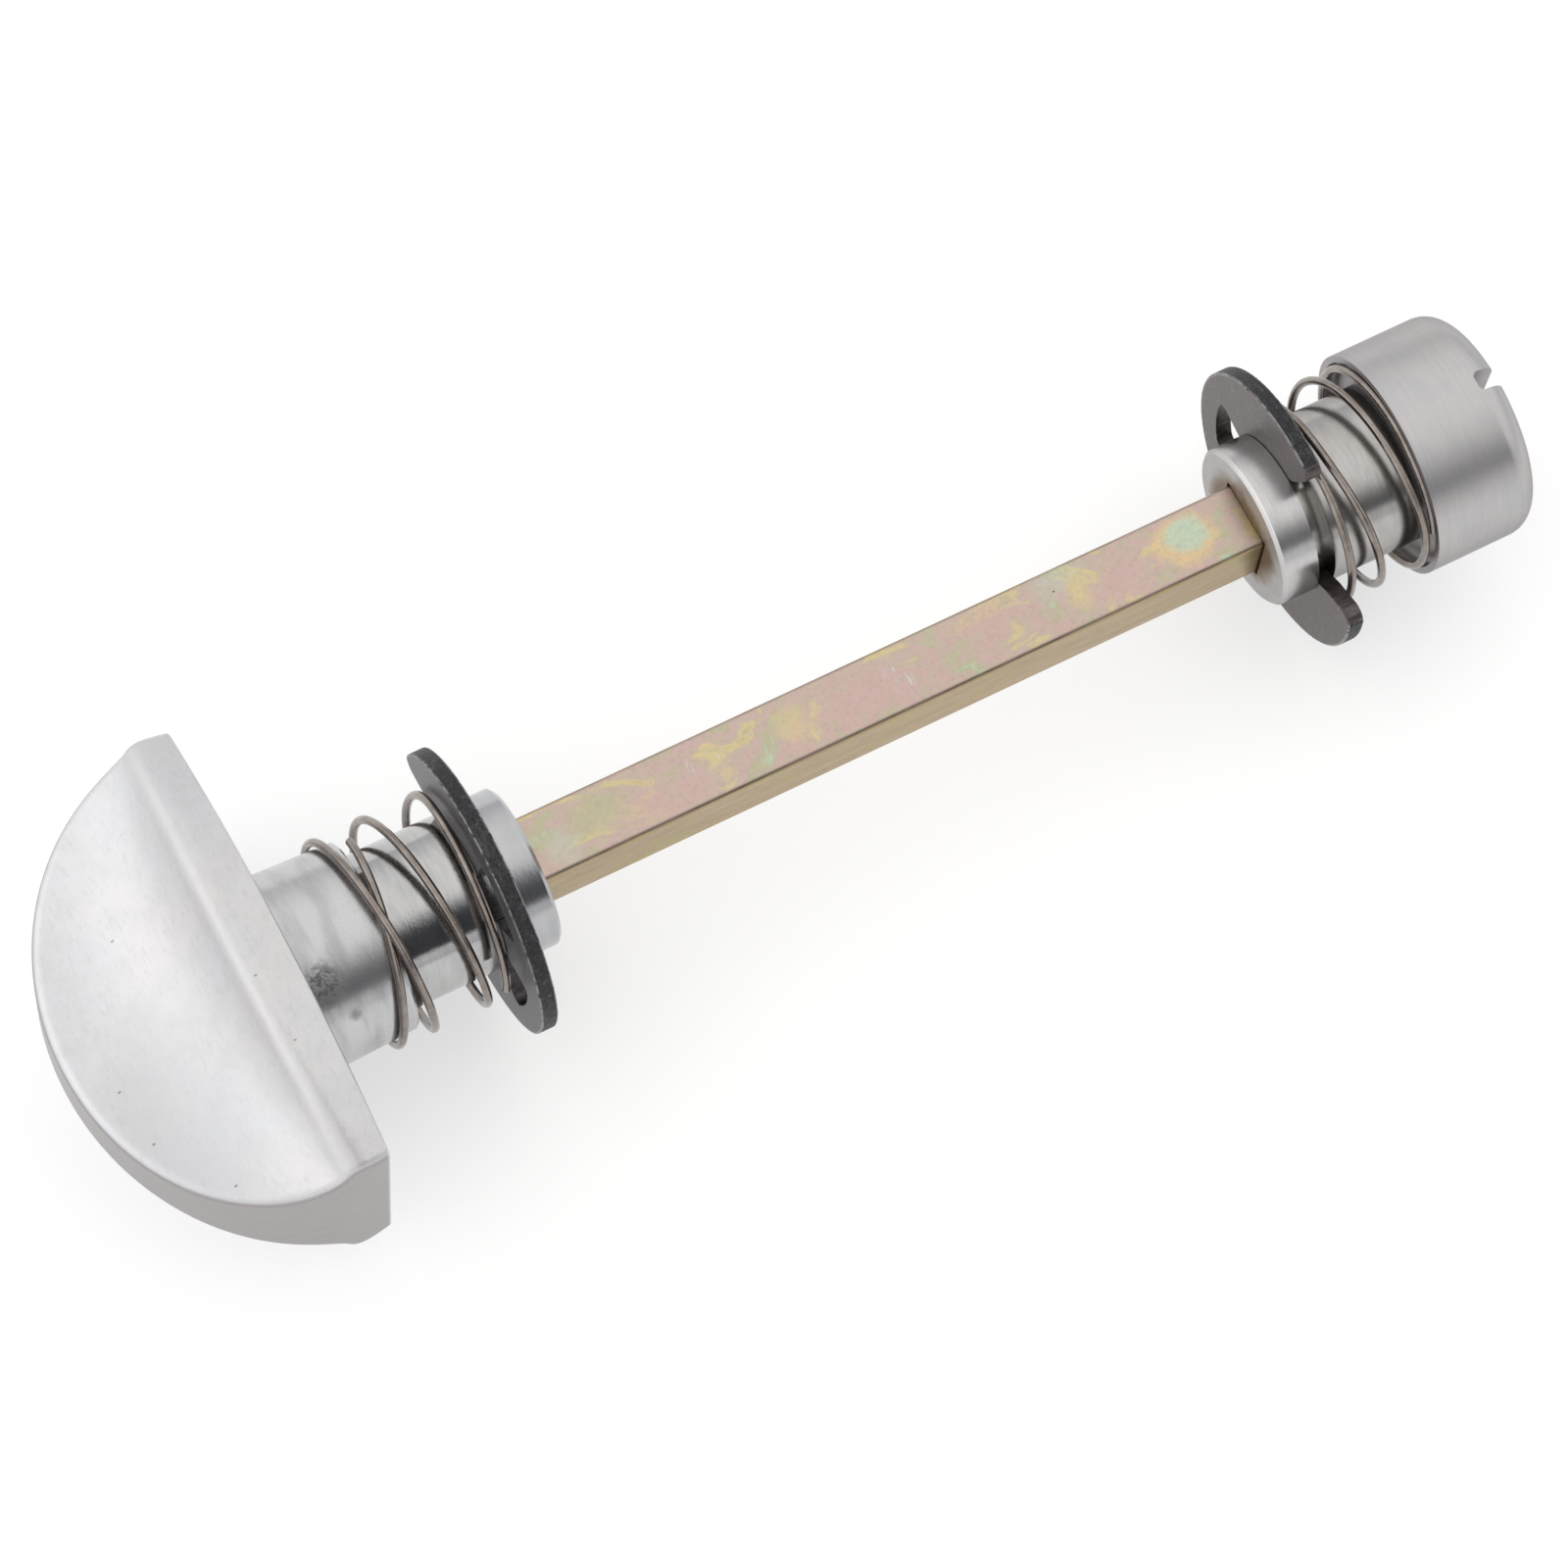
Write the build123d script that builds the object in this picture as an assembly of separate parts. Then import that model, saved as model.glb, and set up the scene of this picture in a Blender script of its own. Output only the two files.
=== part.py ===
from build123d import *
import math
import os

# Privacy turn and release set for a door. Millimetres.
# +X runs along the spindle from the thumb turn to the release, +Z out of the turn's broad face.
# The origin is on the axis, in the middle of the flat face that seats the thumb turn.

# Thumb turn: half-moon grip
GRIP_HALF_WIDTH = 16.9
GRIP_HEIGHT = 16.1
GRIP_WIDEST = 2.2
GRIP_BAND = 2.8
SEAT_HALF_WIDTH = 16.75
BASE_END_HALF = 7.4
BASE_BULGE = 3.5
RIDGE_END_HALF = 8.0
RIDGE_BULGE = 4.1
RIDGE_DROP = 0.9
RIDGE_ROUNDING = 1.3
HOLLOW_SETBACK = 1.6
HOLLOW_FLOOR_START = 9.2
CREST_HALF = 2.4
CREST_SWELL = 0.3
RIM_RADIUS = 0.8
SEAT_RADIUS = 0.2
SECTION_OVERRUN = 1.2

# Thumb turn: boss, stem, groove and flange
BOSS_RADIUS = 7.2
BOSS_END_RADIUS = 6.9
BOSS_LENGTH = 7.0
BOSS_CHAMFER = 0.15
TURN_STEM_RADIUS = 5.68
TURN_FLANGE_RADIUS = 5.8
TURN_GROOVE_START = 14.15
TURN_STEM_END = 18.3
FLANGE_CHAMFER = 0.27

# Release: head, stem, groove and flange
RELEASE_START = 74.1
RELEASE_FLANGE_RADIUS = 5.9
RELEASE_STEM_RADIUS = 5.86
RELEASE_GROOVE_START = 76.85
HEAD_START = 85.0
HEAD_END = 93.3
HEAD_RADIUS = 8.3
HEAD_EDGE_RADIUS = 1.8
HEAD_RECESS_RADIUS = 7.8
HEAD_RECESS_DEPTH = 0.5
COIN_SLOT_WIDTH = 1.45
COIN_SLOT_DEPTH = 1.95
COIN_SLOT_FILLET = 0.4
COIN_SLOT_ANGLE = 92.5

# Retaining grooves and clips
GROOVE_RADIUS = 4.95
GROOVE_WIDTH = 1.3
CLIP_THICKNESS = 1.2
CLIP_OUTER_RADIUS = 10.4
CLIP_OUTER_OFFSET = 0.45
CLIP_OUTER_END = 148.0
CLIP_INNER_RADIUS = 5.0
CLIP_POCKET_RADIUS = 8.6
CLIP_POCKET_START = 16.0
CLIP_POCKET_END = 56.0
CLIP_LUG_END = 127.0
CLIP_THROAT_END = 141.0
CLIP_THROAT_RADIUS = 7.0
CLIP_POCKET_FILLET = 0.7
CLIP_TIP_FILLET = 1.0
CLIP_EDGE_FILLET = 0.1
TURN_CLIP_BACK_ANGLE = 157.0
RELEASE_CLIP_BACK_ANGLE = -43.0

# Square spindle and its sockets
SPINDLE_SIDE = 5.0
SPINDLE_LENGTH = 80.0
SPINDLE_START = 2.5
SPINDLE_CORNER = 0.4
SOCKET_FLOOR_GAP = 0.3
RELEASE_SOCKET_SIDE = 5.3
RELEASE_SOCKET_END = 90.0

# Springs: wire, coils, and the places of their first and last coils
WIRE_RADIUS = 0.3
COIL_RADIUS = 7.4
COIL_STEPS_PER_TURN = 12
TURN_SPRING_START = 5.4
TURN_SPRING_END = 13.7
TURN_SPRING_CUT = 7.6
TURN_SPRING_LEAN = 0.37
TURN_SPRING_TAIL = 0.5
RELEASE_SPRING_START = 78.45
RELEASE_SPRING_END = 85.1
RELEASE_SPRING_SWING = 0.9

os.makedirs("parts", exist_ok=True)


def disc(start, end, radius, end_radius=None):
    """Round bar along X from start to end, or a cone where end_radius is given."""
    plane = Plane(origin=(start, 0, 0), x_dir=(0, 1, 0), z_dir=(1, 0, 0))
    standing = (Align.CENTER, Align.CENTER, Align.MIN)
    if end_radius is None:
        return plane * Cylinder(radius, end - start, align=standing)
    return plane * Cone(radius, end_radius, end - start, align=standing)


def square_bar(start, end, side):
    """Square bar along X with its faces square to Y and Z."""
    return Pos((start + end) / 2, 0, 0) * Box(end - start, side, side)


def chamfer_rim(solid, x, radius, size):
    """Chamfer the round edge of the given radius at one place on the axis."""
    round_edges = solid.edges().filter_by(GeomType.CIRCLE)
    rim = [e for e in round_edges if abs(e.center().X - x) < 0.01 and abs(e.radius - radius) < 0.01]
    return chamfer(rim, size)


def mirrored(point):
    """The same point on the other broad face."""
    return Vector(point.X, point.Y, -point.Z)


def grip_section(y):
    """Closed section of the grip at one place across its width."""
    fullness = 1 - (y / SEAT_HALF_WIDTH) ** 2
    base = Vector(0, y, BASE_END_HALF + BASE_BULGE * fullness)
    ridge = Vector(-GRIP_BAND - RIDGE_DROP * fullness, y, RIDGE_END_HALF + RIDGE_BULGE * fullness)
    crest = Vector(-GRIP_HEIGHT - SECTION_OVERRUN, y, CREST_HALF)
    hollow_top = ridge - Vector(HOLLOW_SETBACK, 0, (ridge.Z - CREST_HALF) / 2)
    hollow_low = Vector(-HOLLOW_FLOOR_START, y, CREST_HALF + CREST_SWELL)
    # the ridge is rounded between the flat band and the hollow face
    round_start = ridge + (base - ridge).normalized() * RIDGE_ROUNDING
    round_end = ridge + (hollow_top - ridge).normalized() * RIDGE_ROUNDING
    # the section runs on past the seat face, where the outline cuts it flat
    outer = base + (base - ridge).normalized() * SECTION_OVERRUN
    front = [outer, round_start, ridge, round_end, hollow_top, hollow_low, crest]
    back = [mirrored(point) for point in front]
    edges = [Line(front[6], back[6]), Line(back[0], front[0])]
    for side in (front, back):
        edges.append(Line(side[0], side[1]))
        edges.append(Bezier(side[1], side[2], side[3]))
        edges.append(Bezier(side[3], side[4], side[5], side[6]))
    return Face(Wire(edges))


def grip_outline():
    """The half-moon seen from the broad side, as a tall block: an ellipse whose centre lies in the grip."""
    oval = Pos(-GRIP_WIDEST, 0) * Ellipse(GRIP_HEIGHT - GRIP_WIDEST, GRIP_HALF_WIDTH)
    half_moon = oval - Pos(GRIP_HEIGHT / 2, 0) * Rectangle(GRIP_HEIGHT, 3 * GRIP_HALF_WIDTH)
    return extrude(half_moon, amount=GRIP_HALF_WIDTH, both=True)


def thumb_turn():
    """Half-moon grip, drafted boss, stem with a groove and flange, and a square socket."""
    reach = GRIP_HALF_WIDTH + 0.45
    stations = [reach * step / 3 for step in range(-3, 4)]
    grip = loft([grip_section(y) for y in stations]) & grip_outline()
    rim = [e for e in grip.edges() if (e @ 0.5).X < 0.1 - GRIP_HEIGHT]
    grip = fillet(rim, RIM_RADIUS)
    grip = fillet(grip.edges().filter_by_position(Axis.X, -0.01, 0.01), SEAT_RADIUS)
    flange_start = TURN_GROOVE_START + GROOVE_WIDTH
    body = grip + disc(0, BOSS_LENGTH, BOSS_RADIUS, BOSS_END_RADIUS)
    body = chamfer_rim(body, BOSS_LENGTH, BOSS_END_RADIUS, BOSS_CHAMFER)
    body += disc(BOSS_LENGTH, TURN_GROOVE_START, TURN_STEM_RADIUS)
    body += disc(TURN_GROOVE_START, flange_start, GROOVE_RADIUS)
    body += disc(flange_start, TURN_STEM_END, TURN_FLANGE_RADIUS)
    body = chamfer_rim(body, TURN_STEM_END, TURN_FLANGE_RADIUS, FLANGE_CHAMFER)
    return body - square_bar(SPINDLE_START - SOCKET_FLOOR_GAP, TURN_STEM_END + 1, SPINDLE_SIDE)


def spindle():
    """Square bar with rounded corners."""
    bar = square_bar(SPINDLE_START, SPINDLE_START + SPINDLE_LENGTH, SPINDLE_SIDE)
    return fillet(bar.edges().filter_by(Axis.X), SPINDLE_CORNER)


def release_knob():
    """Round head with a coin slot and a recessed back, stem with a groove and flange, square socket."""
    groove_end = RELEASE_GROOVE_START + GROOVE_WIDTH
    recess_floor = HEAD_START + HEAD_RECESS_DEPTH
    head = disc(HEAD_START, HEAD_END, HEAD_RADIUS)
    head = fillet(head.faces().sort_by(Axis.X)[-1].edges(), HEAD_EDGE_RADIUS)
    head -= disc(HEAD_START - 1, recess_floor, HEAD_RECESS_RADIUS)
    body = head + disc(groove_end, recess_floor, RELEASE_STEM_RADIUS)
    body += disc(RELEASE_GROOVE_START, groove_end, GROOVE_RADIUS)
    body += disc(RELEASE_START, RELEASE_GROOVE_START, RELEASE_FLANGE_RADIUS)
    body = chamfer_rim(body, RELEASE_START, RELEASE_FLANGE_RADIUS, FLANGE_CHAMFER)
    body -= square_bar(RELEASE_START - 1, RELEASE_SOCKET_END, RELEASE_SOCKET_SIDE)
    slot = Box(2 * COIN_SLOT_DEPTH, 3 * HEAD_RADIUS, COIN_SLOT_WIDTH)
    slot = fillet(slot.faces().sort_by(Axis.X)[0].edges().filter_by(Axis.Y), COIN_SLOT_FILLET)
    return body - Pos(HEAD_END, 0, 0) * Rot(COIN_SLOT_ANGLE, 0, 0) * slot


def polar(radius, angle):
    turn = math.radians(angle)
    return (radius * math.cos(turn), radius * math.sin(turn))


def polar_arc(radius, first, last):
    middle = (first + last) / 2
    return ThreePointArc(polar(radius, first), polar(radius, middle), polar(radius, last))


def clip_tip(side):
    """Outer end of an arm, on the outer circle, whose centre lies toward the clip's back."""
    y, z = polar(CLIP_OUTER_RADIUS, side * CLIP_OUTER_END)
    return (y + CLIP_OUTER_OFFSET, z)


def clip_arm(side):
    """Edges of one arm from the back lug to the tip, with the pocket between the lugs."""
    pocket_start = side * CLIP_POCKET_START
    pocket_end = side * CLIP_POCKET_END
    lug_end = side * CLIP_LUG_END
    throat = polar(CLIP_THROAT_RADIUS, side * CLIP_THROAT_END)
    return [
        Line(polar(CLIP_INNER_RADIUS, pocket_start), polar(CLIP_POCKET_RADIUS, pocket_start)),
        polar_arc(CLIP_POCKET_RADIUS, pocket_start, pocket_end),
        Line(polar(CLIP_POCKET_RADIUS, pocket_end), polar(CLIP_INNER_RADIUS, pocket_end)),
        polar_arc(CLIP_INNER_RADIUS, pocket_end, lug_end),
        Line(polar(CLIP_INNER_RADIUS, lug_end), throat),
        Line(throat, clip_tip(side)),
    ]


def clip(groove_start, back_angle):
    """E-shaped retaining clip in a groove: three lugs, two pockets and an open mouth."""
    back_lug = polar_arc(CLIP_INNER_RADIUS, -CLIP_POCKET_START, CLIP_POCKET_START)
    back = (CLIP_OUTER_RADIUS + CLIP_OUTER_OFFSET, 0)
    outer = ThreePointArc(clip_tip(-1), back, clip_tip(1))
    outline = Face(Wire([back_lug, outer] + clip_arm(1) + clip_arm(-1)))
    plate = extrude(outline, CLIP_THICKNESS, dir=(0, 0, 1))
    upright = plate.edges().filter_by(Axis.Z)
    pocket_corners = [e for e in upright if abs(math.hypot(*tuple(e.center())[:2]) - CLIP_POCKET_RADIUS) < 0.01]
    plate = fillet(pocket_corners, CLIP_POCKET_FILLET)
    plate = fillet(plate.edges().filter_by(Axis.Z).group_by(Axis.X)[0], CLIP_TIP_FILLET)
    round_edges = plate.edges().filter_by(GeomType.CIRCLE)
    plate = fillet([e for e in round_edges if abs(e.radius - CLIP_OUTER_RADIUS) < 0.01], CLIP_EDGE_FILLET)
    start = groove_start + (GROOVE_WIDTH - CLIP_THICKNESS) / 2
    plane = Plane(origin=(start, 0, 0), x_dir=(0, 1, 0), z_dir=(1, 0, 0))
    return plane * Rot(0, 0, back_angle) * plate


def ramp(value, first, last):
    """Smooth step from 0 at first to 1 at last."""
    share = min(max((value - first) / (last - first), 0), 1)
    return share * share * (3 - 2 * share)


def rise(value, first, last):
    """Straight climb from 0 at first to 1 at last."""
    return min(max((value - first) / (last - first), 0), 1)


def wound_wire(first, last, place, radius):
    """Round wire on a helix: place and radius give each angle's X and distance from the axis."""
    steps = round((last - first) / 360 * COIL_STEPS_PER_TURN)
    points = []
    for step in range(steps + 1):
        angle = first + (last - first) * step / steps
        points.append(Vector(place(angle), *polar(radius(angle), angle)))
    path = Spline(points)
    return sweep(Plane(origin=path @ 0, z_dir=path % 0) * Circle(WIRE_RADIUS), path=path)


def turn_spring():
    """Three coils and an end coil that starts under the next one, where it crosses the boss's end."""

    def place(angle):
        climb = (TURN_SPRING_END - TURN_SPRING_START) * rise(angle, 350, 1100)
        cut_end = (TURN_SPRING_CUT - TURN_SPRING_START) * (1 - ramp(angle, 50, 200))
        tilt = -TURN_SPRING_LEAN * math.cos(math.radians(angle + 15))
        lean = tilt * ramp(angle, 350, 500) * (1 - ramp(angle, 1060, 1160))
        return TURN_SPRING_START + cut_end + climb + lean - TURN_SPRING_TAIL * rise(angle, 1100, 1260)

    def radius(angle):
        return COIL_RADIUS + 2.2 * WIRE_RADIUS * math.exp(-(((angle - 465) / 45) ** 2))

    return wound_wire(50, 1260, place, radius)


def release_spring():
    """One closed coil at the clip, one open coil and one closed coil in the head's recess."""

    def place(angle):
        closed = 2.2 * WIRE_RADIUS * (rise(angle, 96, 456) + rise(angle, 880, 1240))
        opened = RELEASE_SPRING_END - RELEASE_SPRING_START - 4.4 * WIRE_RADIUS
        swing = RELEASE_SPRING_SWING * math.exp(-(((angle - 540) / 90) ** 2))
        return RELEASE_SPRING_START + closed + opened * rise(angle, 456, 880) + swing

    return wound_wire(96, 1240, place, lambda angle: COIL_RADIUS)


NODES = {
    "thumb_turn": thumb_turn(),
    "turn_spring": turn_spring(),
    "turn_clip": clip(TURN_GROOVE_START, TURN_CLIP_BACK_ANGLE),
    "spindle": spindle(),
    "release_knob": release_knob(),
    "release_spring": release_spring(),
    "release_clip": clip(RELEASE_GROOVE_START, RELEASE_CLIP_BACK_ANGLE),
}

for name, solid in NODES.items():
    export_step(solid, f"parts/{name}.step")
    print(name, round(solid.volume, 1), solid.is_valid)
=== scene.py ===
import math

import bpy
from mathutils import Matrix, Vector


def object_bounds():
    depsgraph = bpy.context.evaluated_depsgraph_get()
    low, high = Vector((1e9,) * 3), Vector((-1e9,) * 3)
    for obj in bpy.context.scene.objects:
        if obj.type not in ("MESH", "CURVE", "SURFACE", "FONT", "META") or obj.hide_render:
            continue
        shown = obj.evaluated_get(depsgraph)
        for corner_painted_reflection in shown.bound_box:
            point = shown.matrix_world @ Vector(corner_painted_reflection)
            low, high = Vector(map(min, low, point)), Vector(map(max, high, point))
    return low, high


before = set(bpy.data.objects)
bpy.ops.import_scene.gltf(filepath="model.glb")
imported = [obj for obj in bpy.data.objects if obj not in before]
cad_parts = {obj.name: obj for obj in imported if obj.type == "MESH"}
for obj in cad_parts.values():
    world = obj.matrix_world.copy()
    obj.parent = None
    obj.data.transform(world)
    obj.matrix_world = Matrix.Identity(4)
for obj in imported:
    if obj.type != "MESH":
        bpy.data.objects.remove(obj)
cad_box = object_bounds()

# Lengths are in metres; material coordinates are turned into millimetres first.
MM = 0.001
# The CAD's own dimensions in millimetres, where a finish changes or an edge is worn.
# Grip: depth of the band beside the seat at its ends, how much further the ridge bows out in the middle,
# half the seat's length, and the centre and half axes of the half-moon outline.
GRIP_BAND = 2.8
RIDGE_DROP = 0.9
SEAT_HALF_WIDTH = 16.75
OUTLINE_CENTRE = -2.2
OUTLINE_HEIGHT = 13.9
OUTLINE_HALF_WIDTH = 16.9
# Places along the axis: end of the boss, end of the turn's groove, and starts of the release's parts.
BOSS_END = 7.0
TURN_GROOVE_START = 14.15
TURN_GROOVE_END = 15.45
RELEASE_START = 74.1
RELEASE_GROOVE_START = 76.85
HEAD_START = 85.0
# Clips: half the groove's width, and the offset and radius of the eccentric rim.
GROOVE_HALF = 0.65
CLIP_OFFSET = 0.45
CLIP_RIM = 10.4
# Half the side of the square bar.
BAR_HALF = 2.5


# ---------------------------------------------------------------- node helpers
class Graph:
    """A node tree with short calls to add and join nodes."""

    def __init__(self, tree):
        self.tree = tree

    def add(self, kind, inputs=None, **settings):
        node = self.tree.nodes.new(kind)
        for key, value in settings.items():
            setattr(node, key, value)
        for key, value in (inputs or {}).items():
            self.set(node.inputs[key], value)
        return node

    def set(self, socket, value):
        if isinstance(value, bpy.types.NodeSocket):
            self.tree.links.new(value, socket)
        else:
            socket.default_value = value

    def math(self, operation, *values):
        node = self.add("ShaderNodeMath", operation=operation)
        for socket, value in zip(node.inputs, values):
            self.set(socket, value)
        return node.outputs[0]

    def vector(self, operation, *values):
        node = self.add("ShaderNodeVectorMath", operation=operation)
        for socket, value in zip(node.inputs, values):
            self.set(socket, value)
        return node.outputs[0]

    def step(self, value, low, high):
        """0 below low, 1 above high, smooth between; low above high turns it round."""
        start, end = (0.0, 1.0) if low < high else (1.0, 0.0)
        node = self.add("ShaderNodeMapRange", interpolation_type="SMOOTHSTEP")
        for key, number in (("Value", value), ("From Min", min(low, high)), ("From Max", max(low, high))):
            self.set(node.inputs[key], number)
        self.set(node.inputs["To Min"], start)
        self.set(node.inputs["To Max"], end)
        return node.outputs["Result"]

    def remap(self, value, low, high):
        """Turns 0 to 1 into low to high."""
        return self.math("MULTIPLY_ADD", value, high - low, low)

    def mix(self, factor, first, second, blend="MIX"):
        node = self.add("ShaderNodeMix", data_type="RGBA", blend_type=blend)
        self.set(node.inputs[0], factor)
        self.set(node.inputs[6], first)
        self.set(node.inputs[7], second)
        return node.outputs[2]

    def noise(self, vector, scale, detail=2.0, roughness=0.5, distortion=0.0):
        node = self.add("ShaderNodeTexNoise")
        inputs = (("Vector", vector), ("Scale", scale), ("Detail", detail), ("Roughness", roughness),
                  ("Distortion", distortion))
        for key, value in inputs:
            self.set(node.inputs[key], value)
        return node.outputs["Fac"]

    def cells(self, vector, scale, randomness=1.0):
        node = self.add("ShaderNodeTexVoronoi")
        for key, value in (("Vector", vector), ("Scale", scale), ("Randomness", randomness)):
            self.set(node.inputs[key], value)
        return node.outputs["Distance"]

    def ramp(self, value, stops):
        node = self.add("ShaderNodeValToRGB")
        elements = node.color_ramp.elements
        while len(elements) < len(stops):
            elements.new(0.5)
        for element, (place, colour) in zip(elements, stops):
            element.position = place
            element.color = colour
        self.set(node.inputs[0], value)
        return node.outputs[0]

    def bump(self, height, strength, distance, normal=None):
        node = self.add("ShaderNodeBump", {"Height": height, "Strength": strength, "Distance": distance})
        if normal is not None:
            self.set(node.inputs["Normal"], normal)
        return node.outputs[0]


def rgb(red, green, blue):
    return (red, green, blue, 1.0)


class Metal(Graph):
    """A material with millimetre coordinates and the distance from the spindle's axis."""

    def __init__(self, name):
        self.material = bpy.data.materials.new(name)
        self.material.use_nodes = True
        super().__init__(self.material.node_tree)
        self.shader = self.tree.nodes["Principled BSDF"]
        self.shader.inputs["Metallic"].default_value = 1.0
        place = self.add("ShaderNodeTexCoord").outputs["Object"]
        self.place = self.vector("SCALE", place)
        self.place.node.inputs["Scale"].default_value = 1.0 / MM
        split = self.add("ShaderNodeSeparateXYZ", {0: self.place})
        self.x, self.y, self.z = split.outputs
        across = self.both(self.y, self.y)
        upright = self.both(self.z, self.z)
        self.radius = self.math("SQRT", self.math("ADD", across, upright))

    def rings(self, fine, around, offset=0.0):
        """Coordinates for turning lines: quick along the axis and out from it, slow around it, no seam."""
        out = self.math("ADD", self.x, self.radius)
        spread = self.math("DIVIDE", around, self.math("MAXIMUM", self.radius, 0.1))
        joined = self.add("ShaderNodeCombineXYZ", {
            0: self.math("MULTIPLY_ADD", out, fine, offset),
            1: self.math("MULTIPLY", self.y, spread),
            2: self.math("MULTIPLY", self.z, spread),
        })
        return joined.outputs[0]

    def scaled(self, along, across, up):
        """Object coordinates with their own scale on each axis."""
        return self.vector("MULTIPLY", self.place, (along, across, up))

    def patch(self, centre, size, edge=0.5, ragged=0.0, grain=1.0):
        """Soft spot of the given half sizes in millimetres: 1 inside, 0 outside; ragged moves its edge."""
        apart = self.vector("SUBTRACT", self.place, centre)
        apart = self.vector("DIVIDE", apart, size)
        apart = self.add("ShaderNodeVectorMath", {0: apart}, operation="LENGTH").outputs["Value"]
        if ragged:
            noise = self.noise(self.place, grain, 3.0, 0.6)
            apart = self.math("MULTIPLY_ADD", self.math("SUBTRACT", noise, 0.5), ragged, apart)
        return self.step(apart, 1.0 + edge / 2, 1.0 - edge / 2)

    def between(self, first, second, factor):
        """Number that goes from first to second with the factor."""
        return self.add("ShaderNodeMix", {0: factor, 2: first, 3: second}).outputs[0]

    def both(self, first, second):
        return self.math("MULTIPLY", first, second)

    def most(self, first, second):
        return self.math("MAXIMUM", first, second)

    def finish(self, colour, roughness, normal=None):
        self.set(self.shader.inputs["Base Color"], colour)
        self.set(self.shader.inputs["Roughness"], roughness)
        if normal is not None:
            self.set(self.shader.inputs["Normal"], normal)
        return self.material


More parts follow.
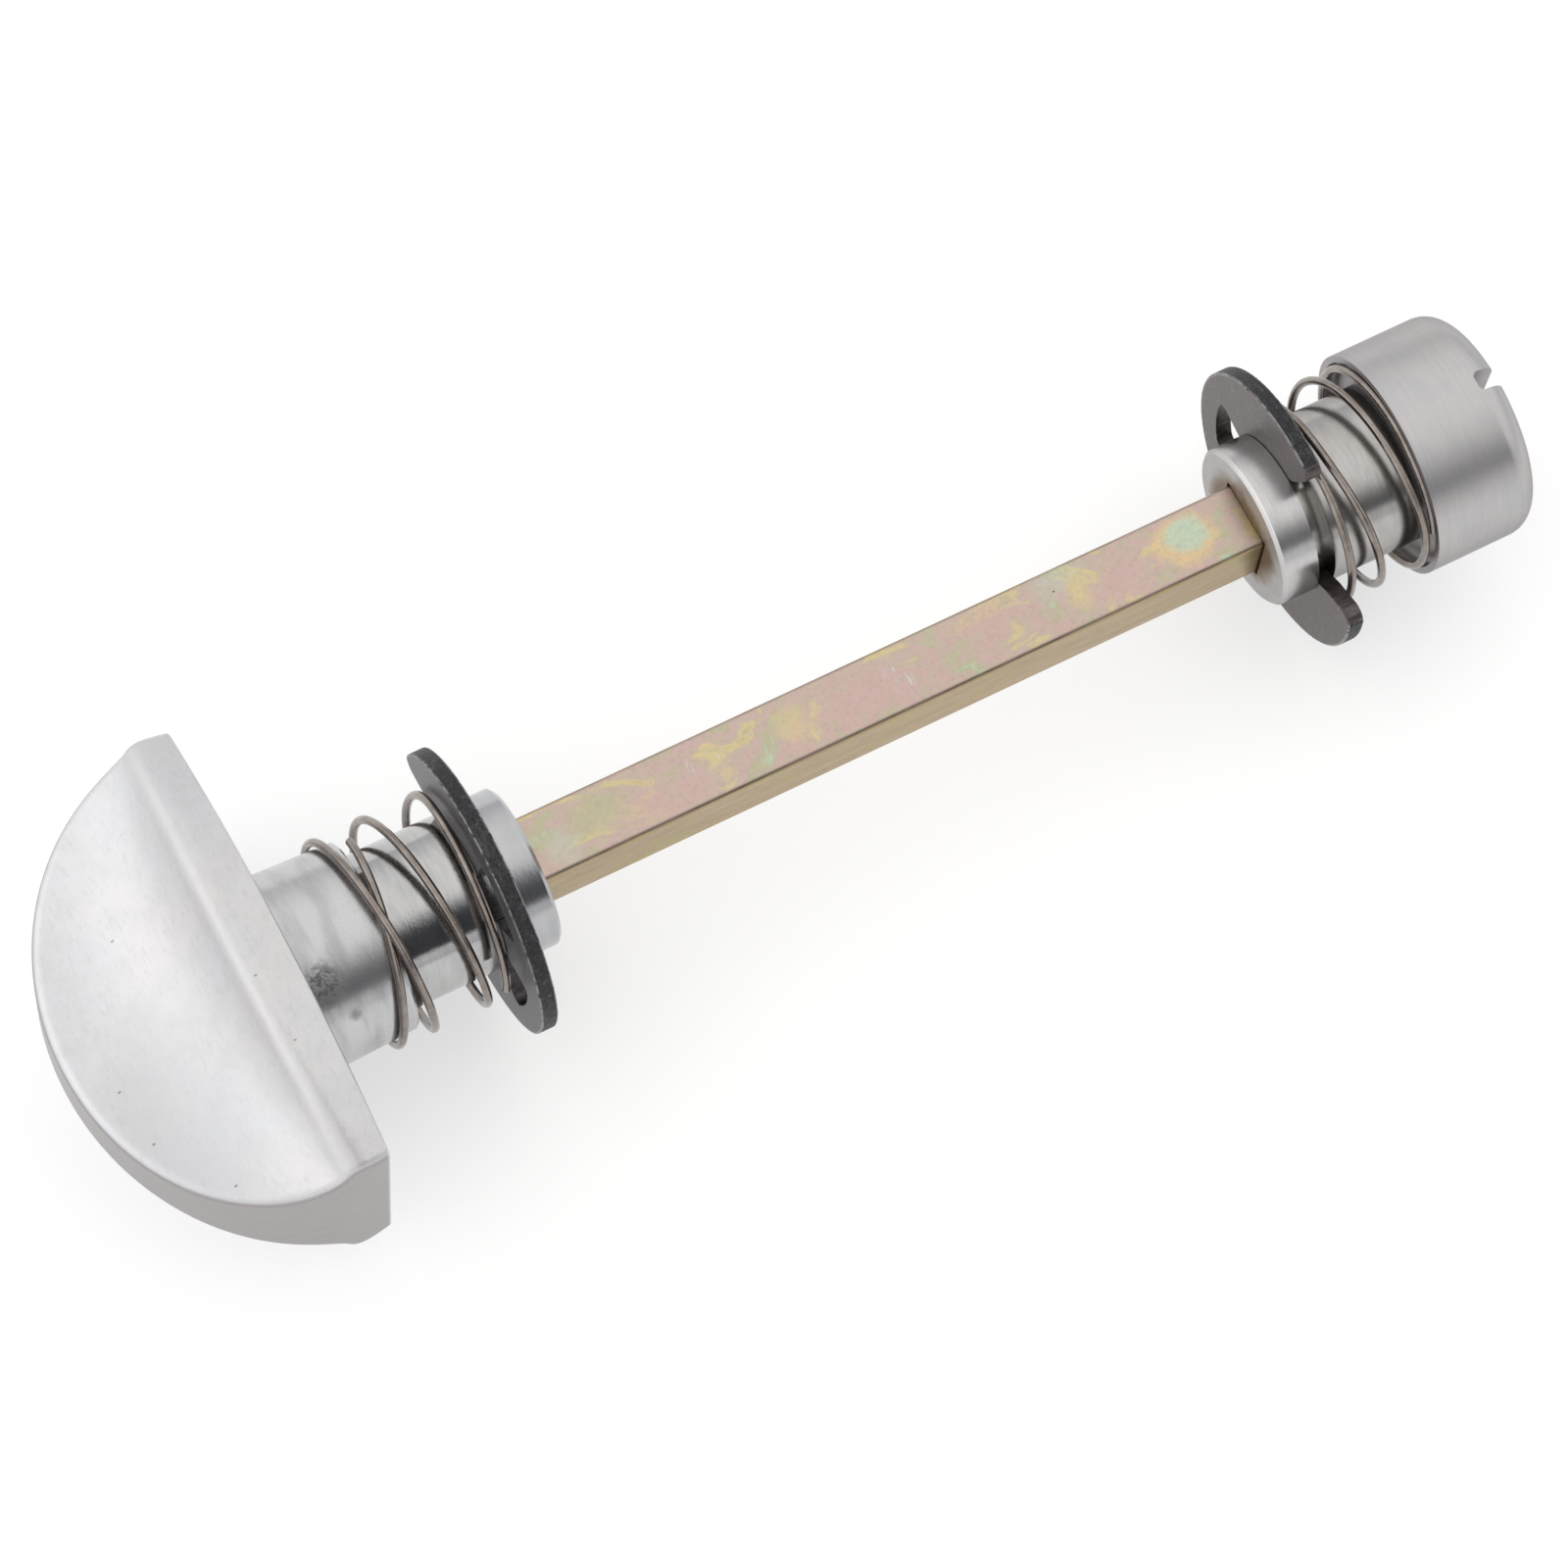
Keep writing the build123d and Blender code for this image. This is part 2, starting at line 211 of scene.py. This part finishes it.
# ---------------------------------------------------------------- materials
def turn_alloy():
    """Satin grip, smeared boss, polished stem and satin flange of the thumb turn, along its axis."""
    m = Metal("turn_alloy")
    on_boss = m.step(m.x, 0.02, 0.07)
    on_stem = m.step(m.x, BOSS_END - 0.02, BOSS_END + 0.02)
    on_flange = m.step(m.x, TURN_GROOVE_END - 0.05, TURN_GROOVE_END + 0.05)
    # grip: cloudy satin with faint warm and cool tints and a fine blasted grain
    clouds = m.noise(m.place, 0.13, 3.0, 0.6, 0.5)
    grain = m.noise(m.place, 7.0, 3.0, 0.65)
    grip = m.mix(m.step(clouds, 0.40, 0.60), rgb(0.640, 0.626, 0.626), rgb(0.620, 0.624, 0.642))
    blot = m.step(m.noise(m.place, 0.55, 4.0, 0.65), 0.35, 0.70)
    grip = m.mix(m.both(blot, 0.5), grip, rgb(0.575, 0.57, 0.575))
    # one half of the hollow is painted darker and cooler, as painted shade
    hollow_painted_shade = m.patch((-10.5, -8.0, 4.0), (4.5, 8.0, 5.0), 1.2, 0.5, 0.4)
    grip = m.mix(m.both(hollow_painted_shade, 0.6), grip, rgb(0.49, 0.495, 0.515))
    brushed = m.noise(m.scaled(3.2, 0.9, 3.2), 1.0, 4.0, 0.75, 0.4)
    grip = m.mix(m.both(m.step(brushed, 0.50, 0.72), 0.42), grip, rgb(0.47, 0.465, 0.465))
    grip = m.mix(m.both(m.step(grain, 0.5, 0.8), 0.22), grip, rgb(0.45, 0.45, 0.46))
    # the ridge between the seat band and the hollow is painted darker as painted shade, which softens its
    # highlight, and is rougher
    bow = RIDGE_DROP / SEAT_HALF_WIDTH ** 2
    bowed = m.math("MULTIPLY_ADD", m.both(m.y, m.y), bow, -GRIP_BAND - RIDGE_DROP)
    beside = m.math("ABSOLUTE", m.math("SUBTRACT", m.x, bowed))
    ridge_shade_and_rough = m.both(m.step(beside, 0.9, 0.1), m.step(m.x, -0.4, -1.0))
    grip = m.mix(m.both(ridge_shade_and_rough, 0.4), grip, rgb(0.55, 0.54, 0.542))
    # its side wall is ground along the rim, and is painted darker as painted shade
    reach = m.math("DIVIDE", m.math("SUBTRACT", m.x, OUTLINE_CENTRE), OUTLINE_HEIGHT)
    span = m.math("DIVIDE", m.y, OUTLINE_HALF_WIDTH)
    rim = m.math("SQRT", m.math("ADD", m.both(reach, reach), m.both(span, span)))
    on_wall = m.both(m.step(rim, 0.988, 0.998), m.step(m.x, -0.05, -0.3))
    ground = m.noise(m.scaled(0.5, 0.5, 9.0), 1.0, 3.0, 0.7)
    wall_ground_and_shade = m.mix(ground, rgb(0.26, 0.243, 0.246), rgb(0.40, 0.378, 0.382))
    grip = m.mix(on_wall, grip, wall_ground_and_shade)
    # pits and nicks, and a scatter of smaller ones
    marks = m.patch((-9.4, 5.9, 3.2), (0.11, 0.08, 2.0), 1.1)
    for place in (
        (-13.4, -3.4, 3.2), (-12.95, -7.7, 3.2), (-2.56, -7.9, 9.0), (-3.0, -3.0, 10.0), (-9.5, -13.0, 3.5),
    ):
        marks = m.most(marks, m.patch(place, (0.12, 0.07, 3.0), 1.1))
    kept = m.step(m.noise(m.place, 0.31, 0.0), 0.56, 0.58)
    marks = m.most(marks, m.both(m.step(m.cells(m.place, 0.34), 0.045, 0.015), kept))
    grip = m.mix(marks, grip, rgb(0.26, 0.25, 0.245))
    # boss: pulled smears, a stained patch beside the grip and a small spot
    pulled = m.noise(m.rings(0.8, 1.2), 1.0, 4.0, 0.55)
    boss = m.mix(m.both(m.step(pulled, 0.40, 0.72), 0.5), rgb(0.53, 0.53, 0.535), rgb(0.30, 0.30, 0.305))
    boss = m.mix(m.both(m.step(grain, 0.5, 0.75), 0.25), boss, rgb(0.28, 0.28, 0.285))
    stain = m.patch((1.5, -3.8, 6.0), (1.25, 1.5, 1.5), 0.9)
    stain = m.both(stain, m.step(m.noise(m.place, 2.6, 5.0, 0.75), 0.38, 0.58))
    spot = m.patch((2.8, -5.9, 4.0), (0.35, 0.4, 0.4), 1.6, 1.2, 3.5)
    stain = m.most(m.both(stain, 0.85), m.both(spot, 0.5))
    boss = m.mix(stain, boss, rgb(0.07, 0.07, 0.072))
    lines = m.noise(m.rings(5.0, 1.0), 1.0, 4.0, 0.8)
    bands = m.noise(m.rings(1.1, 1.6, 7.0), 1.0, 3.0, 0.6)
    stem = m.mix(m.step(bands, 0.35, 0.7), rgb(0.49, 0.485, 0.48), rgb(0.42, 0.42, 0.425))
    stem = m.mix(m.both(m.step(lines, 0.45, 0.75), 0.35), stem, rgb(0.30, 0.30, 0.31))
    flange = m.mix(m.step(bands, 0.35, 0.7), rgb(0.475, 0.48, 0.49), rgb(0.43, 0.435, 0.445))
    flange = m.mix(m.both(lines, 0.2), flange, rgb(0.28, 0.28, 0.29))
    base = m.mix(on_boss, grip, boss)
    base = m.mix(on_stem, base, stem)
    base = m.mix(on_flange, base, flange)
    rough_grip = m.between(m.remap(grain, 0.36, 0.50), 0.5, ridge_shade_and_rough)
    rough_grip = m.between(rough_grip, 0.34, on_wall)
    rough_boss = m.between(m.remap(pulled, 0.18, 0.32), 0.5, stain)
    rough = m.between(rough_grip, rough_boss, on_boss)
    rough = m.between(rough, m.remap(lines, 0.07, 0.17), on_stem)
    rough = m.between(rough, m.remap(lines, 0.14, 0.26), on_flange)
    waves = m.noise(m.place, 1.5, 4.0, 0.7)
    height = m.math("ADD", m.both(grain, 0.5), m.both(waves, 1.4))
    height = m.math("SUBTRACT", m.both(height, m.between(1.0, 0.3, on_boss)), m.both(marks, 1.2))
    normal = m.bump(height, 0.30, 0.05 * MM)
    tooled = m.math("ADD", m.both(lines, on_stem), m.both(ground, on_wall))
    normal = m.bump(tooled, 0.16, 0.02 * MM, normal)
    return m.finish(base, rough, normal)


def release_alloy():
    """Brushed head, satin stem and flange of the release."""
    m = Metal("release_alloy")
    on_head = m.step(m.x, HEAD_START - 0.1, HEAD_START)
    on_flange = m.step(m.x, RELEASE_GROOVE_START + 0.05, RELEASE_GROOVE_START - 0.05)
    lines = m.noise(m.rings(7.0, 1.6), 1.0, 5.0, 0.8)
    bands = m.noise(m.rings(0.8, 2.2, 3.0), 1.0, 3.0, 0.6)
    shade = m.noise(m.place, 0.35, 3.0, 0.55)
    head = m.mix(m.step(shade, 0.38, 0.62), rgb(0.500, 0.480, 0.478), rgb(0.468, 0.462, 0.472))
    head = m.mix(m.both(m.step(lines, 0.40, 0.72), 0.30), head, rgb(0.34, 0.33, 0.33))
    stem = m.mix(m.step(bands, 0.35, 0.65), rgb(0.45, 0.44, 0.43), rgb(0.40, 0.385, 0.37))
    stem = m.mix(m.both(m.step(lines, 0.45, 0.75), 0.4), stem, rgb(0.28, 0.275, 0.27))
    flange = m.mix(m.step(bands, 0.35, 0.65), rgb(0.57, 0.55, 0.54), rgb(0.52, 0.515, 0.52))
    flange = m.mix(m.both(m.step(lines, 0.45, 0.75), 0.3), flange, rgb(0.38, 0.38, 0.39))
    # its end face is duller, and darker brown round the socket
    on_end = m.step(m.x, RELEASE_START + 0.22, RELEASE_START + 0.06)
    near_socket = m.math("MULTIPLY_ADD", shade, 2.5, m.radius)
    brown = m.both(m.step(near_socket, 6.0, 4.7), on_end)
    flange = m.mix(m.both(brown, 0.85), flange, rgb(0.23, 0.165, 0.10))
    base = m.mix(on_head, stem, head)
    base = m.mix(on_flange, base, flange)
    rough = m.between(m.remap(lines, 0.15, 0.26), m.remap(lines, 0.28, 0.38), on_head)
    rough = m.between(rough, m.remap(lines, 0.17, 0.30), on_flange)
    rough = m.between(rough, 0.42, on_end)
    m.set(m.shader.inputs["Specular Tint"], rgb(0.62, 0.61, 0.61))
    return m.finish(base, rough, m.bump(lines, 0.09, 0.02 * MM))


def spring_wire():
    """Drawn stainless wire with a warm brownish skin."""
    m = Metal("spring_wire")
    draw = m.noise(m.rings(7.0, 4.0), 1.0, 3.0, 0.7)
    tint = m.noise(m.place, 0.8, 3.0, 0.6)
    base = m.mix(m.step(tint, 0.35, 0.65), rgb(0.24, 0.205, 0.185), rgb(0.31, 0.28, 0.255))
    base = m.mix(m.both(m.step(draw, 0.4, 0.8), 0.5), base, rgb(0.15, 0.125, 0.11))
    return m.finish(base, m.remap(draw, 0.12, 0.26), m.bump(draw, 0.18, 0.02 * MM))


def clip_steel(name, start, back_angle, brown):
    """Dark phosphated spring steel: scratched faces, worn arrises, and a rough rim left by the shears."""
    m = Metal(name)
    turn = math.radians(back_angle)
    centre = (0.0, CLIP_OFFSET * math.cos(turn), CLIP_OFFSET * math.sin(turn))
    spread = m.vector("SUBTRACT", m.place, centre)
    split = m.add("ShaderNodeSeparateXYZ", {0: spread}).outputs
    out = m.math("SQRT", m.math("ADD", m.both(split[1], split[1]), m.both(split[2], split[2])))
    skin = m.noise(m.place, 1.3, 5.0, 0.7)
    face = m.mix(m.step(skin, 0.36, 0.64), rgb(0.040, 0.039, 0.043), rgb(0.11, 0.106, 0.112))
    face = m.mix(brown, face, rgb(0.125, 0.098, 0.090))
    scratch = m.noise(m.scaled(0.8, 7.0, 0.9), 0.9, 3.0, 0.6, 0.6)
    crossed = m.noise(m.scaled(0.8, 0.8, 6.0), 1.1, 2.0, 0.6, 0.5)
    scratches = m.most(m.step(scratch, 0.60, 0.70), m.both(m.step(crossed, 0.62, 0.72), 0.7))
    face = m.mix(m.both(scratches, 0.45), face, rgb(0.34, 0.33, 0.33))
    on_rim = m.step(out, CLIP_RIM - 0.10, CLIP_RIM - 0.04)
    pits = m.noise(m.place, 5.5, 4.0, 0.75)
    rim = m.mix(m.step(pits, 0.30, 0.70), rgb(0.020, 0.020, 0.022), rgb(0.060, 0.060, 0.064))
    torn = m.noise(m.scaled(2.6, 1.3, 1.3), 1.0, 5.0, 0.7)
    rim = m.mix(m.both(m.step(torn, 0.50, 0.72), 0.6), rim, rgb(0.125, 0.125, 0.13))
    chips = m.step(m.noise(m.place, 2.9, 4.0, 0.85), 0.64, 0.71)
    rim = m.mix(m.both(chips, 0.7), rim, rgb(0.42, 0.41, 0.40))
    base = m.mix(on_rim, face, rim)
    # worn arrises where the faces meet the rim
    middle = m.math("ABSOLUTE", m.math("SUBTRACT", m.x, start + GROOVE_HALF))
    near_edge = m.both(m.step(middle, 0.46, 0.54), m.step(out, CLIP_RIM - 0.22, CLIP_RIM - 0.08))
    worn = m.both(near_edge, m.step(m.noise(m.place, 1.9, 4.0, 0.7), 0.34, 0.56))
    base = m.mix(m.both(worn, 0.75), base, rgb(0.36, 0.35, 0.35))
    rough = m.between(m.remap(skin, 0.26, 0.46), m.remap(pits, 0.40, 0.66), on_rim)
    rough = m.between(rough, 0.28, worn)
    height = m.math("ADD", m.both(pits, 0.3), m.both(torn, m.both(on_rim, 4.0)))
    height = m.math("SUBTRACT", height, m.both(scratches, 0.3))
    m.set(m.shader.inputs["Metallic"], 0.85)
    return m.finish(base, rough, m.bump(height, 0.6, 0.07 * MM))


def turn_clip_steel():
    return clip_steel("turn_clip_steel", TURN_GROOVE_START, 157.0, 0.15)


def release_clip_steel():
    return clip_steel("release_clip_steel", RELEASE_GROOVE_START, -43.0, 0.45)


def passivated_zinc():
    """Yellow passivated zinc: tan with drifting pink, green, yellow and cyan, more golden on the sides and
    painted darker there as painted shade.
    """
    m = Metal("passivated_zinc")
    drift = m.noise(m.scaled(0.55, 0.9, 0.9), 0.42, 4.0, 0.62, 0.9)
    tan = rgb(0.485, 0.405, 0.335)
    pink = rgb(0.535, 0.385, 0.355)
    olive = rgb(0.45, 0.425, 0.285)
    yellow = rgb(0.60, 0.49, 0.27)
    cyan = rgb(0.45, 0.52, 0.42)
    broad = m.ramp(drift, (
        (0.27, olive), (0.36, yellow), (0.43, tan), (0.50, pink), (0.56, tan), (0.62, olive), (0.72, cyan),
    ))
    # larger clouds of pink, green and yellow along the bar
    for x, y, colour, strength, length in (
        (23.9, 0.3, olive, 0.9, 2.2), (20.8, -0.9, cyan, 0.5, 1.0), (28.6, -0.9, pink, 0.8, 3.5),
        (38.7, 0.2, yellow, 0.6, 1.1), (44.0, -0.2, pink, 0.9, 3.0), (54.0, 1.0, pink, 0.6, 3.0),
        (59.8, 1.6, cyan, 0.5, 1.6), (60.9, 0.1, yellow, 0.8, 0.8), (63.8, -0.6, pink, 0.9, 2.0),
    ):
        cloud = m.patch((x, y, BAR_HALF), (length, 1.3, 1.0), 1.4, 1.4, 0.9)
        broad = m.mix(m.both(cloud, strength), broad, colour)
    # a ringed spot near the release: cyan inside a yellow edge
    ring = m.patch((69.4, 0.2, BAR_HALF), (2.3, 1.9, 1.0), 0.5, 0.8, 0.9)
    core = m.patch((69.7, 0.5, BAR_HALF), (1.5, 1.35, 1.0), 0.6, 0.8, 0.9)
    broad = m.mix(m.both(ring, 0.75), broad, rgb(0.66, 0.50, 0.27))
    broad = m.mix(m.both(core, 0.9), broad, rgb(0.47, 0.56, 0.44))
    # the sides are brassier, with streaks along them, and painted darker as painted shade
    streaks = m.noise(m.scaled(0.22, 2.2, 2.2), 1.0, 4.0, 0.65, 0.3)
    side_brass_and_shade = m.mix(m.step(streaks, 0.32, 0.68), rgb(0.365, 0.275, 0.155), rgb(0.455, 0.345, 0.215))
    side_brass_and_shade = m.mix(m.both(m.step(drift, 0.50, 0.62), 0.6), side_brass_and_shade, rgb(0.41, 0.34, 0.145))
    base = m.mix(m.step(m.z, 2.44, 2.30), broad, side_brass_and_shade)
    # a dark line runs along each rounded corner of the bar, a painted reflection of the dark opening
    corner_painted_reflection = m.both(m.step(m.math("ABSOLUTE", m.y), 2.22, 2.40), m.step(m.math("ABSOLUTE", m.z), 2.22, 2.40))
    corner_painted_reflection = m.both(corner_painted_reflection, m.remap(m.step(streaks, 0.35, 0.60), 0.35, 0.85))
    base = m.mix(corner_painted_reflection, base, rgb(0.17, 0.13, 0.085))
    fine = m.noise(m.place, 3.4, 4.0, 0.7)
    base = m.mix(m.both(m.step(fine, 0.45, 0.8), 0.45), base, rgb(0.34, 0.28, 0.21))
    # scuffs show pale, and a few specks dark
    scuff = m.step(m.noise(m.scaled(2.2, 0.5, 2.2), 1.6, 3.0, 0.7), 0.56, 0.66)
    where = m.most(m.patch((46.9, -0.1, BAR_HALF), (0.9, 1.5, 1.0), 0.9, 0.8, 1.2),
                   m.patch((32.2, 0.4, BAR_HALF), (1.8, 0.8, 1.0), 0.9, 0.8, 1.2))
    base = m.mix(m.both(m.both(scuff, where), 0.7), base, rgb(0.56, 0.56, 0.58))
    specks = m.step(m.cells(m.place, 0.45), 0.05, 0.02)
    specks = m.both(specks, m.step(m.noise(m.place, 0.4, 0.0), 0.55, 0.57))
    base = m.mix(specks, base, rgb(0.10, 0.08, 0.06))
    return m.finish(base, m.remap(fine, 0.24, 0.44), m.bump(fine, 0.22, 0.03 * MM))


def floor_white():
    """Pale lit table: part of its brightness is its own, which keeps the shadows faint."""
    m = Metal("floor_white")
    m.set(m.shader.inputs["Metallic"], 0.0)
    m.set(m.shader.inputs["Emission Color"], rgb(1.0, 1.0, 1.0))
    m.set(m.shader.inputs["Emission Strength"], 0.50)
    paper = m.noise(m.place, 0.02, 2.0)
    return m.finish(m.mix(paper, rgb(0.52, 0.52, 0.52), rgb(0.54, 0.54, 0.54)), 0.9)


FINISHES = {
    "thumb_turn": turn_alloy,
    "release_knob": release_alloy,
    "turn_spring": spring_wire,
    "release_spring": spring_wire,
    "turn_clip": turn_clip_steel,
    "release_clip": release_clip_steel,
    "spindle": passivated_zinc,
}
made = {}
for name, maker in FINISHES.items():
    if maker not in made:
        made[maker] = maker()
    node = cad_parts[name]
    node.data.materials.clear()
    node.data.materials.append(made[maker])


# ---------------------------------------------------------------- camera
def camera():
    """The photograph's view: position and axes in the row frame."""
    right = Vector((0.8844, -0.4641, 0.0489))
    up = Vector((0.4153, 0.8305, 0.3712))
    back = right.cross(up).normalized()
    up = back.cross(right).normalized()
    right = up.cross(back).normalized()
    data = bpy.data.cameras.new("camera")
    data.sensor_width = 36.0
    data.lens = 155.67
    data.clip_start = 0.01
    data.clip_end = 20.0
    eye = bpy.data.objects.new("camera", data)
    bpy.context.scene.collection.objects.link(eye)
    axes = Matrix((right, up, back)).transposed().to_4x4()
    eye.matrix_world = Matrix.Translation((-0.06146, -0.14478, 0.4279)) @ axes
    bpy.context.scene.camera = eye


camera()


# ---------------------------------------------------------------- floor and light
def floor():
    low = cad_box[0][2]
    size = 3.0
    mesh = bpy.data.meshes.new("floor")
    corners = [(-size, -size, low), (size, -size, low), (size, size, low), (-size, size, low)]
    mesh.from_pydata(corners, [], [(0, 1, 2, 3)])
    plane = bpy.data.objects.new("floor", mesh)
    bpy.context.scene.collection.objects.link(plane)
    mesh.materials.append(floor_white())


floor()


def surroundings():
    """White tent by direction: brightest overhead and at the grip's side, with a dark opening in front."""
    world = bpy.data.worlds.new("tent")
    bpy.context.scene.world = world
    world.use_nodes = True
    g = Graph(world.node_tree)
    direction = g.add("ShaderNodeTexCoord").outputs["Generated"]
    along, across, up = g.add("ShaderNodeSeparateXYZ", {0: direction}).outputs
    around = g.math("ARCTAN2", up, across)
    degrees = g.math("MULTIPLY", around, 180.0 / math.pi)
    # the opening's upper edge slants, so it is narrower at the release's end
    upper = g.math("MULTIPLY_ADD", along, -130.0, degrees)
    dark = g.math("MULTIPLY", g.step(upper, 79.0, 108.0), g.step(degrees, 166.5, 160.5))
    length = g.math("MULTIPLY", g.step(along, -0.14, 0.08), g.step(along, 0.70, 0.45))
    dark = g.math("MULTIPLY", dark, length)
    overhead = g.step(up, -0.1, 0.85)
    tent = g.mix(overhead, rgb(0.72, 0.72, 0.735), rgb(1.20, 1.195, 1.18))
    lean = g.math("MULTIPLY_ADD", across, -0.35, along)
    side = g.math("MULTIPLY", g.step(lean, -0.37, -0.90), g.step(up, -0.15, 0.12))
    tent = g.mix(side, tent, rgb(1.56, 1.56, 1.56))
    shade = g.mix(g.step(along, 0.16, 0.34), rgb(0.055, 0.057, 0.065), rgb(0.15, 0.15, 0.155))
    colour = g.mix(dark, tent, shade)
    background = g.tree.nodes["Background"]
    g.set(background.inputs["Color"], colour)
    background.inputs["Strength"].default_value = 1.0


surroundings()
bpy.context.scene.view_settings.view_transform = "Standard"
